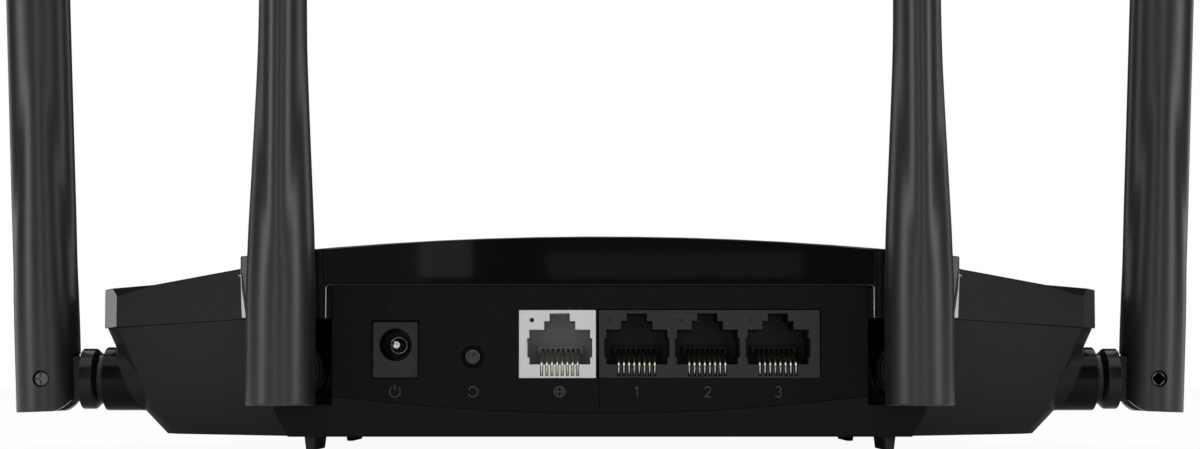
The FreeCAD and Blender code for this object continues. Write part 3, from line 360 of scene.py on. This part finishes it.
# ---- spring contacts: eight gilded wires in each socket, lying over its lip and rising to the back
# Each is a round-edged bar bent over the lip and swept to the rear wall, at the standard contact pitch.
def solid(name, points, material, body, ring=False):
    """Closed skins through grids of points (skin, row, column): columns wrap round, and rows do too in a ring.

    Where a first or last row shrinks to a point, its copies merge into one pole."""
    skins, rows, columns = points.shape[:3]
    index = np.arange(skins * rows * columns).reshape(skins, rows, columns)
    ahead = np.roll(index, -1, 1) if ring else index[:, 1:]
    here = index if ring else index[:, :-1]
    faces = np.stack([here, np.roll(here, -1, 2), np.roll(ahead, -1, 2), ahead], -1).reshape(-1, 4)
    mesh = bpy.data.meshes.new(name)
    mesh.from_pydata(points.reshape(-1, 3).tolist(), [], faces.tolist())
    shape = bmesh.new()
    shape.from_mesh(mesh)
    bmesh.ops.remove_doubles(shape, verts=shape.verts, dist=1e-7)
    bmesh.ops.recalc_face_normals(shape, faces=shape.faces)
    shape.to_mesh(mesh)
    shape.free()
    mesh.polygons.foreach_set("use_smooth", np.ones(len(mesh.polygons), bool))
    mesh.materials.append(material)
    piece = bpy.data.objects.new(name, mesh)
    scene.collection.objects.link(piece)
    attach(piece, body)
    return piece


def swept(path, side, half_width, half_thick, columns=12):
    """A rounded bar along a path: path + cos a * half_width * side + sin a * half_thick * (tangent x side).

    Two more rows at each end shrink the section to the path's own end point."""
    path = np.concatenate([path[:1], path[:1], path, path[-1:], path[-1:]])
    scale = np.ones(len(path))
    scale[[0, -1]], scale[[1, -2]] = 0, 0.7
    tangent = np.gradient(path, axis=0)
    tangent[:2], tangent[-2:] = path[3] - path[2], path[-3] - path[-4]
    tangent /= np.linalg.norm(tangent, axis=1)[:, None]
    up = np.cross(tangent, side)
    a = np.linspace(0, 2 * np.pi, columns, endpoint=False)[None, :, None]
    return (path[:, None] + scale[:, None, None] * (half_width * np.cos(a) * np.asarray(side, float)
            + half_thick * np.sin(a) * up[:, None]))


def worn_metal_group():
    """Bare metal: slow noise tarnishes the colour and fine streaks along X and Z vary the roughness."""
    group = surface_group("worn_metal", Color=(0.6, 0.6, 0.6, 1), Tarnish=(0.3, 0.3, 0.3, 1), Roughness=0.3,
                          Scale=600.0)
    n, k = group.nodes, group.links
    given, result, where = n.new("NodeGroupInput"), n.new("NodeGroupOutput"), n.new("ShaderNodeTexCoord")
    patch, streak = n.new("ShaderNodeTexNoise"), n.new("ShaderNodeTexNoise")
    stretch = n.new("ShaderNodeMapping")
    stretch.inputs["Scale"].default_value = (1, 0.15, 1)
    k.new(where.outputs["Object"], patch.inputs["Vector"])
    k.new(where.outputs["Object"], stretch.inputs["Vector"])
    k.new(stretch.outputs["Vector"], streak.inputs["Vector"])
    k.new(given.outputs["Scale"], patch.inputs["Scale"])
    streak.inputs["Scale"].default_value = 4000
    tint = n.new("ShaderNodeMix")
    tint.data_type = "RGBA"
    k.new(patch.outputs["Fac"], tint.inputs["Factor"])
    k.new(given.outputs["Color"], tint.inputs["A"])
    k.new(given.outputs["Tarnish"], tint.inputs["B"])
    rough = n.new("ShaderNodeMath")
    rough.operation = "MULTIPLY_ADD"
    rough.use_clamp = True
    k.new(streak.outputs["Fac"], rough.inputs[0])
    rough.inputs[1].default_value = 0.15
    k.new(given.outputs["Roughness"], rough.inputs[2])
    k.new(tint.outputs["Result"], result.inputs["Color"])
    k.new(rough.outputs[0], result.inputs["Roughness"])
    k.new(streak.outputs["Fac"], result.inputs["Height"])
    return group


WORN = worn_metal_group()


def bare_metal(name, colour, tarnish, roughness, scale=600.0):
    """A bare metal: the worn metal group feeds its colour, its roughness and its bump."""
    material = bpy.data.materials.new(name)
    material.use_nodes = True
    n, k = material.node_tree.nodes, material.node_tree.links
    bsdf, surface, bump = n["Principled BSDF"], n.new("ShaderNodeGroup"), n.new("ShaderNodeBump")
    surface.node_tree = WORN
    surface.inputs["Color"].default_value = (*colour, 1)
    surface.inputs["Tarnish"].default_value = (*tarnish, 1)
    surface.inputs["Roughness"].default_value = roughness
    surface.inputs["Scale"].default_value = scale
    bump.inputs["Strength"].default_value = 0.2
    bump.inputs["Distance"].default_value = 0.01 * MM
    k.new(surface.outputs["Color"], bsdf.inputs["Base Color"])
    k.new(surface.outputs["Roughness"], bsdf.inputs["Roughness"])
    k.new(surface.outputs["Height"], bump.inputs["Height"])
    k.new(bump.outputs["Normal"], bsdf.inputs["Normal"])
    bsdf.inputs["Metallic"].default_value = 1
    return material


contact_gilt = bare_metal("gold_contact", (0.78, 0.74, 0.64), (0.60, 0.55, 0.44), 0.22)
contact_pitch = 1.02 * MM
lan_middles = np.array([7.3, 21.3, 35.3]) * MM  # the black sockets' middles across the panel
low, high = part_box("wan_contacts")
wan_middle = (low.x + high.x) / 2
t = np.linspace(0, 1, 9)[:, None]
upright = np.array([[0, 0.75, -0.1], [0, 0.72, 1.7]])
bend = (1 - t) ** 2 * [0, 0.72, 1.7] + 2 * t * (1 - t) * [0, 0.70, 2.75] + t ** 2 * [0, 2.3, 3.05]
slope = np.array([[0, 6.0, 3.8], [0, 12.2, 5.05]])
wire = np.concatenate([upright, bend, slope]) * MM + [0, PORT_Y, low.z]
for node, name, middles in (("wan_contacts", "wan_contact_wires", np.array([wan_middle])),
                            ("lan_contacts", "lan_contact_wires", lan_middles)):
    lanes = middles[:, None] + np.arange(-3.5, 4) * contact_pitch
    tube = swept(wire, (1, 0, 0), 0.24 * MM, 0.15 * MM, 10)
    shift = np.stack([lanes.ravel(), 0 * lanes.ravel(), 0 * lanes.ravel()], -1)
    piece = solid(name, tube[None] + shift[:, None, None], contact_gilt, "case")
    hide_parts(node)

# ---- socket dimples: the mould's ejector marks beside each latch, shallow dark dots in a raised rim
# Each is turned from one profile and let into the socket's front face.
mark_black = moulded("dimple_black", (0.006, 0.006, 0.006), 0.6, depth=0.1, dust=0.0, specular=0.3)


def turned(profile, centre, axis, columns=48):
    """(radius, height) pairs carried round an axis: centre + height * axis + radius * (cos a, sin a)."""
    radius, height = np.asarray(profile, float).T[..., None] * MM
    axis = np.asarray(axis, float)
    first = np.cross(axis, (0, 0, 1) if abs(axis[2]) < 0.9 else (1, 0, 0))
    first /= np.linalg.norm(first)
    second = np.cross(axis, first)
    a = np.linspace(0, 2 * np.pi, columns, endpoint=False)[None]
    return (np.asarray(centre) + height[..., None] * axis + radius[..., None]
            * (np.cos(a)[..., None] * first + np.sin(a)[..., None] * second))


spots = np.array([wan_middle - 5.5 * MM, *(lan_middles - 5.3 * MM)])
low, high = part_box("wan_jack")
rim = [(0, -0.02), (0.28, -0.02), (0.33, -0.06), (0.42, -0.06), (0.46, 0.0), (0.46, 0.3), (0, 0.3)]
skins = np.stack([turned(rim, (spot, low.y, high.z - 2.0 * MM), (0, 1, 0), 24) for spot in spots])
solid("socket_dimples", skins, mark_black, "case")

# ---- power inlet: a nickel pin on the bore's axis, with the sleeve contact's ring behind it
# The pin is turned with a rounded nose and stands on the floor of the bore.
pin_nickel = bare_metal("nickel", (0.72, 0.71, 0.68), (0.5, 0.49, 0.47), 0.18)
low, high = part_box("power_pin")
centre = ((low.x + high.x) / 2, low.y, (low.z + high.z) / 2)
nose = [(0, 0), (0.45, 0.03), (0.8, 0.16), (0.96, 0.42), (1.0, 0.8), (1.0, 7.7), (0, 7.8)]
piece = solid("power_pin_turned", turned(nose, centre, (0, 1, 0))[None], pin_nickel, "case")
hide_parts("power_pin")
a = np.linspace(0, 2 * np.pi, 16, endpoint=False)
loop = np.stack([1.62 + 0.2 * np.cos(a), 6.6 + 0.2 * np.sin(a)], -1)
solid("power_sleeve_ring", turned(loop, centre, (0, 1, 0))[None], pin_nickel, "case", ring=True)

# ---- reset button: a small domed cap on a flanged stem, sprung by the switch behind it
# The flange keeps it behind the panel; the stem ends just short of the switch when it is fully pressed.
low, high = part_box("reset_button")
centre = ((low.x + high.x) / 2, low.y, (low.z + high.z) / 2)
h = np.linspace(0, np.pi / 2, 9)
dome = np.stack([1.5 * np.sin(h), 0.42 * (1 - np.cos(h))], -1)
cap = np.concatenate([dome, [(1.5, 2.62), (2.5, 2.66), (2.52, 3.46), (1.05, 3.5), (1.0, 4.42), (0, 4.42)]])
button_black = moulded("black_button", (0.012, 0.012, 0.0125), 0.3, grain=1800, depth=0.1, specular=0.5)
piece = solid("reset_button_cap", turned(cap, centre, (0, 1, 0))[None], button_black, "button")
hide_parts("reset_button")
crease = piece.modifiers.new("rounded_edges", "BEVEL")
crease.width, crease.segments, crease.limit_method, crease.angle_limit = 0.06 * MM, 2, "ANGLE", math.radians(40)

# ---- port marks: small raised signs under the openings, moulded into the panel
# Each sign is a set of strokes, thin bars swept along arcs and lines, in a slightly lighter black.
mark_grey = moulded("mark_grey", (0.034, 0.034, 0.035), 0.5, depth=0.1, specular=0.3)


def stroke(x, z, count=24):
    """A stroke's points on the panel's face, from x and z functions of a parameter from 0 to 1."""
    t = np.linspace(0, 1, count)
    x, z = np.broadcast_to(x(t), t.shape), np.broadcast_to(z(t), t.shape)
    return np.stack([x, 0 * t, z], -1)


def arc(start, end, radius, x=0.0, z=0.0, squash=1.0):
    """A stroke round (x, z) between two angles in degrees, clockwise from the top; squash narrows it."""
    return stroke(lambda t: x + squash * radius * np.sin(np.radians(start + (end - start) * t)),
                  lambda t: z + radius * np.cos(np.radians(start + (end - start) * t)))


def bar(x0, z0, x1, z1):
    """A straight stroke between two points."""
    return stroke(lambda t: x0 + (x1 - x0) * t, lambda t: z0 + (z1 - z0) * t)


SIGNS = {
    "power": [arc(35, 325, 1.05), bar(0, 0.35, 0, 1.35)],
    "restart": [arc(-40, 250, 1.0), bar(-0.64, 0.77, -0.1, 0.85), bar(-0.64, 0.77, -0.62, 0.2)],
    "globe": [arc(0, 360, 1.05), arc(0, 360, 1.05, squash=0.45), bar(-1.05, 0, 1.05, 0)],
    "one": [bar(0.1, -1.0, 0.1, 1.0), bar(0.1, 1.0, -0.35, 0.6)],
    "two": [arc(-80, 125, 0.55, z=0.45), bar(0.45, 0.13, -0.55, -1.0), bar(-0.55, -1.0, 0.6, -1.0)],
    "three": [arc(-70, 180, 0.5, z=0.5), arc(0, 250, 0.55, z=-0.5)],
}
places = dict(zip(SIGNS, (-40.6 * MM, -25.2 * MM, wan_middle, *lan_middles)))
for sign, strokes in SIGNS.items():
    at = np.array([places[sign], PORT_Y, 11.7 * MM])
    skins = np.stack([swept(line * MM + at, (0, 1, 0), 0.07 * MM, 0.13 * MM, 8) for line in strokes])
    solid("sign_" + sign, skins, mark_grey, "case")

# ---- feet: four soft black rubber ribs under the base
# They keep the CAD piece's own shape, with its edges rounded.
foot_rubber = moulded("rubber_foot", (0.03, 0.03, 0.03), 0.7, grain=900, depth=0.4, specular=0.3)
softened("feet", "rubber_feet", 0.15, "case", foot_rubber)

# ---- antennas: a hollow satin sheath that folds on a screw through the swivel's tongue
# A sheath is round at its foot and tapers into an elliptical blade; its heel is rounded about the fold's pin.
# The swivel is glossy acetal, and its shaft turns in the collar behind a snap ring. The radiator is in the sheath.
def sheath_skin(columns=120):
    """Radius at angle a and height z is the smooth greater of a foot's cone R(z) and a blade's ellipse E(a).

    The tip and the bottom edge are rounded by quarter circles, and each end closes on a pole. Points on the
    collar's side are lifted on to a cylinder about the pin, which is the heel."""
    tip, edge, low, high = 2.4, 0.3, -6.9, 170.0
    half_thick, half_wide, heel_radius = 4.55, 6.78, 7.3
    blend = 0.4  # how far the cone runs into the blade
    q = np.linspace(0, np.pi / 2, 7)
    straight = np.concatenate([np.linspace(low + 0.6, 14, 16), np.linspace(16, 84, 35),
                               np.linspace(88, high - tip - 2, 20)])
    z = np.concatenate([[low, low, low], low + edge * (1 - np.cos(q)), straight,
                        high - tip + tip * np.sin(q), [high, high]])
    inset = np.concatenate([[0, 0, 0], edge * (1 - np.sin(q)), 0 * straight, tip * (1 - np.cos(q)), [0, 0]])
    scale = np.ones(len(z))
    scale[:3], scale[-2:] = (0, 0.5, 0.9), (0.5, 0)
    inset[:3], inset[-2:] = edge, tip
    cone = np.interp(z, [12, 18, 28, 62, 72, 84], [6.78, 6.7, 6.35, 4.7, 4.3, 4.1])[:, None]
    a = np.linspace(0, 2 * np.pi, columns, endpoint=False)[None]
    blade = 1 / np.sqrt((np.cos(a) / half_thick) ** 2 + (np.sin(a) / half_wide) ** 2)
    blade = blade - 0.45 * np.interp(z, [14, 40], [1, 0])[:, None] ** 2
    radius = (cone + blade + np.sqrt((cone - blade) ** 2 + blend ** 2)) / 2 - 0.02
    radius = (radius - inset[:, None]) * scale[:, None]
    x, y, z = np.broadcast_arrays(radius * np.cos(a), radius * np.sin(a), z[:, None])
    heel = -np.sqrt(np.maximum(heel_radius ** 2 - np.maximum(y, 0) ** 2, 0))
    return np.stack([x, y, np.where(y > 0.3, np.maximum(z, heel), z)], -1)


def coated(node, material):
    """Puts one material on a CAD piece that keeps its own mesh."""
    data = frame["nodes"][node].data
    data.materials.clear()
    data.materials.append(material)


def carved(piece, cutters):
    """The piece less the cutters, made real, with creases only where faces turn by more than 35 degrees."""
    tools = []
    for shape in cutters:
        mesh = bpy.data.meshes.new("cutter")
        shape.to_mesh(mesh)
        shape.free()
        tool = bpy.data.objects.new("cutter", mesh)
        scene.collection.objects.link(tool)
        less = piece.modifiers.new("less", "BOOLEAN")
        less.object, less.solver = tool, "EXACT"
        tools.append(tool)
    bpy.context.view_layer.update()
    whole = piece.evaluated_get(bpy.context.evaluated_depsgraph_get())
    mesh = bpy.data.meshes.new_from_object(whole)
    piece.modifiers.clear()
    piece.data = mesh
    for tool in tools:
        bpy.data.objects.remove(tool)
    mesh.polygons.foreach_set("use_smooth", np.ones(len(mesh.polygons), bool))
    mesh.set_sharp_from_angle(angle=math.radians(35))
    return piece


sheath_satin = moulded("satin_antenna", (0.009, 0.009, 0.0093), 0.34, grain=2200, depth=0.05,
                       mottle=0.03, dust=0.008, specular=0.6)
hinge_black = moulded("black_hinge", (0.003, 0.003, 0.0031), 0.2, grain=1200, depth=0.05,
                      mottle=0.06, specular=0.28)
screw_black = bare_metal("black_screw", (0.20, 0.20, 0.20), (0.08, 0.08, 0.08), 0.35)
ring_steel = bare_metal("steel_screw", (0.55, 0.55, 0.55), (0.4, 0.4, 0.4), 0.3)
copper = bare_metal("copper_strip", (0.72, 0.38, 0.22), (0.45, 0.22, 0.14), 0.3, 200)
slot_size, slot_middle = (6.4 * MM, 19 * MM, 14 * MM, 1), (0, 4.5 * MM, -2.0 * MM)
seat_radius, seat_depth, seat_middle = 1.75 * MM, 4 * MM, 7.2 * MM
pins = {joint["name"]: joint["pos_m"] for joint in frame["joints"] if "pos_m" in joint}
for place, turn, lean, head in (("outer_left", -90, 2.3, 1), ("inner_left", 0, 0, 1),
                                ("inner_right", 0, 0, -1), ("outer_right", 90, 2.3, -1)):
    stand = (Matrix.Translation(pins["fold_" + place]) @ Matrix.Rotation(math.radians(turn), 4, "Z")
             @ Matrix.Rotation(math.radians(lean), 4, "X"))
    skin = sheath_skin() * MM
    flat = np.concatenate([skin.reshape(-1, 3), np.ones((skin[..., 0].size, 1))], 1) @ np.array(stand).T
    piece = solid("antenna_sheath_" + place, flat[:, :3].reshape(1, *skin.shape), sheath_satin,
                  "antenna_" + place)
    slot, seat = bmesh.new(), bmesh.new()
    bmesh.ops.create_cube(slot, size=1,
                          matrix=stand @ Matrix.Translation(slot_middle) @ Matrix.Diagonal(slot_size))
    bmesh.ops.create_cone(seat, cap_ends=True, segments=48, radius1=seat_radius, radius2=seat_radius,
                          depth=seat_depth, matrix=stand @ Matrix.Translation((head * seat_middle, 0, 0))
                          @ Matrix.Rotation(math.radians(90), 4, "Y"))
    carved(piece, [slot, seat])
    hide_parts("sheath_" + place)
    softened("pivot_screw_" + place, "antenna_screw_" + place, 0.06, "antenna_" + place,
             screw_black)
    softened("swivel_" + place, "antenna_swivel_" + place, 0.2, "hinge_" + place,
             hinge_black)
    coated("clip_" + place, ring_steel)
    coated("radiator_" + place, copper)

# ---- inside: what shows through the vents and the sockets when the router is turned over
# The board is green laminate with a faint weave; the shields and capacitors are tinned, the heat sink is bare
# aluminium, and the chips, coils and leads are black. They all keep the CAD pieces' own meshes.
board = bpy.data.materials.new("green_board")
board.use_nodes = True
n, k = board.node_tree.nodes, board.node_tree.links
where, cells = n.new("ShaderNodeTexCoord"), n.new("ShaderNodeTexBrick")
cells.inputs["Scale"].default_value = 260
cells.inputs["Color1"].default_value = (0.010, 0.075, 0.032, 1)
cells.inputs["Color2"].default_value = (0.014, 0.095, 0.040, 1)
cells.inputs["Mortar"].default_value = (0.03, 0.14, 0.06, 1)
cells.inputs["Mortar Size"].default_value = 0.02
k.new(where.outputs["Object"], cells.inputs["Vector"])
k.new(cells.outputs["Color"], n["Principled BSDF"].inputs["Base Color"])
n["Principled BSDF"].inputs["Roughness"].default_value = 0.35
chip_black = moulded("black_chip", (0.02, 0.02, 0.02), 0.6, grain=1500, depth=0.3)
lead_black = moulded("black_lead", (0.012, 0.012, 0.012), 0.4, grain=900)
lens_clear = moulded("clear_lens", (0.55, 0.58, 0.60), 0.25, grain=700, depth=0.1)
tin = bare_metal("tin_can", (0.62, 0.62, 0.60), (0.5, 0.5, 0.48), 0.3)
fin = bare_metal("aluminium_fin", (0.75, 0.75, 0.76), (0.62, 0.62, 0.63), 0.35)
FINISHES = {"main_board": board, "board_screws": ring_steel, "case_screws": ring_steel,
            "network_transformers": chip_black, "processor_chip": chip_black, "memory_chip": chip_black,
            "power_inductors": chip_black, "reset_switch": chip_black, "radio_shields": tin, "capacitors": tin,
            "status_leds": lens_clear, "light_guide": lens_clear, "heat_sink": fin,
            "antenna_plugs": contact_gilt,
            "antenna_lead_outer_left": lead_black, "antenna_lead_inner_left": lead_black,
            "antenna_lead_inner_right": lead_black, "antenna_lead_outer_right": lead_black}
for node, material in FINISHES.items():
    coated(node, material)
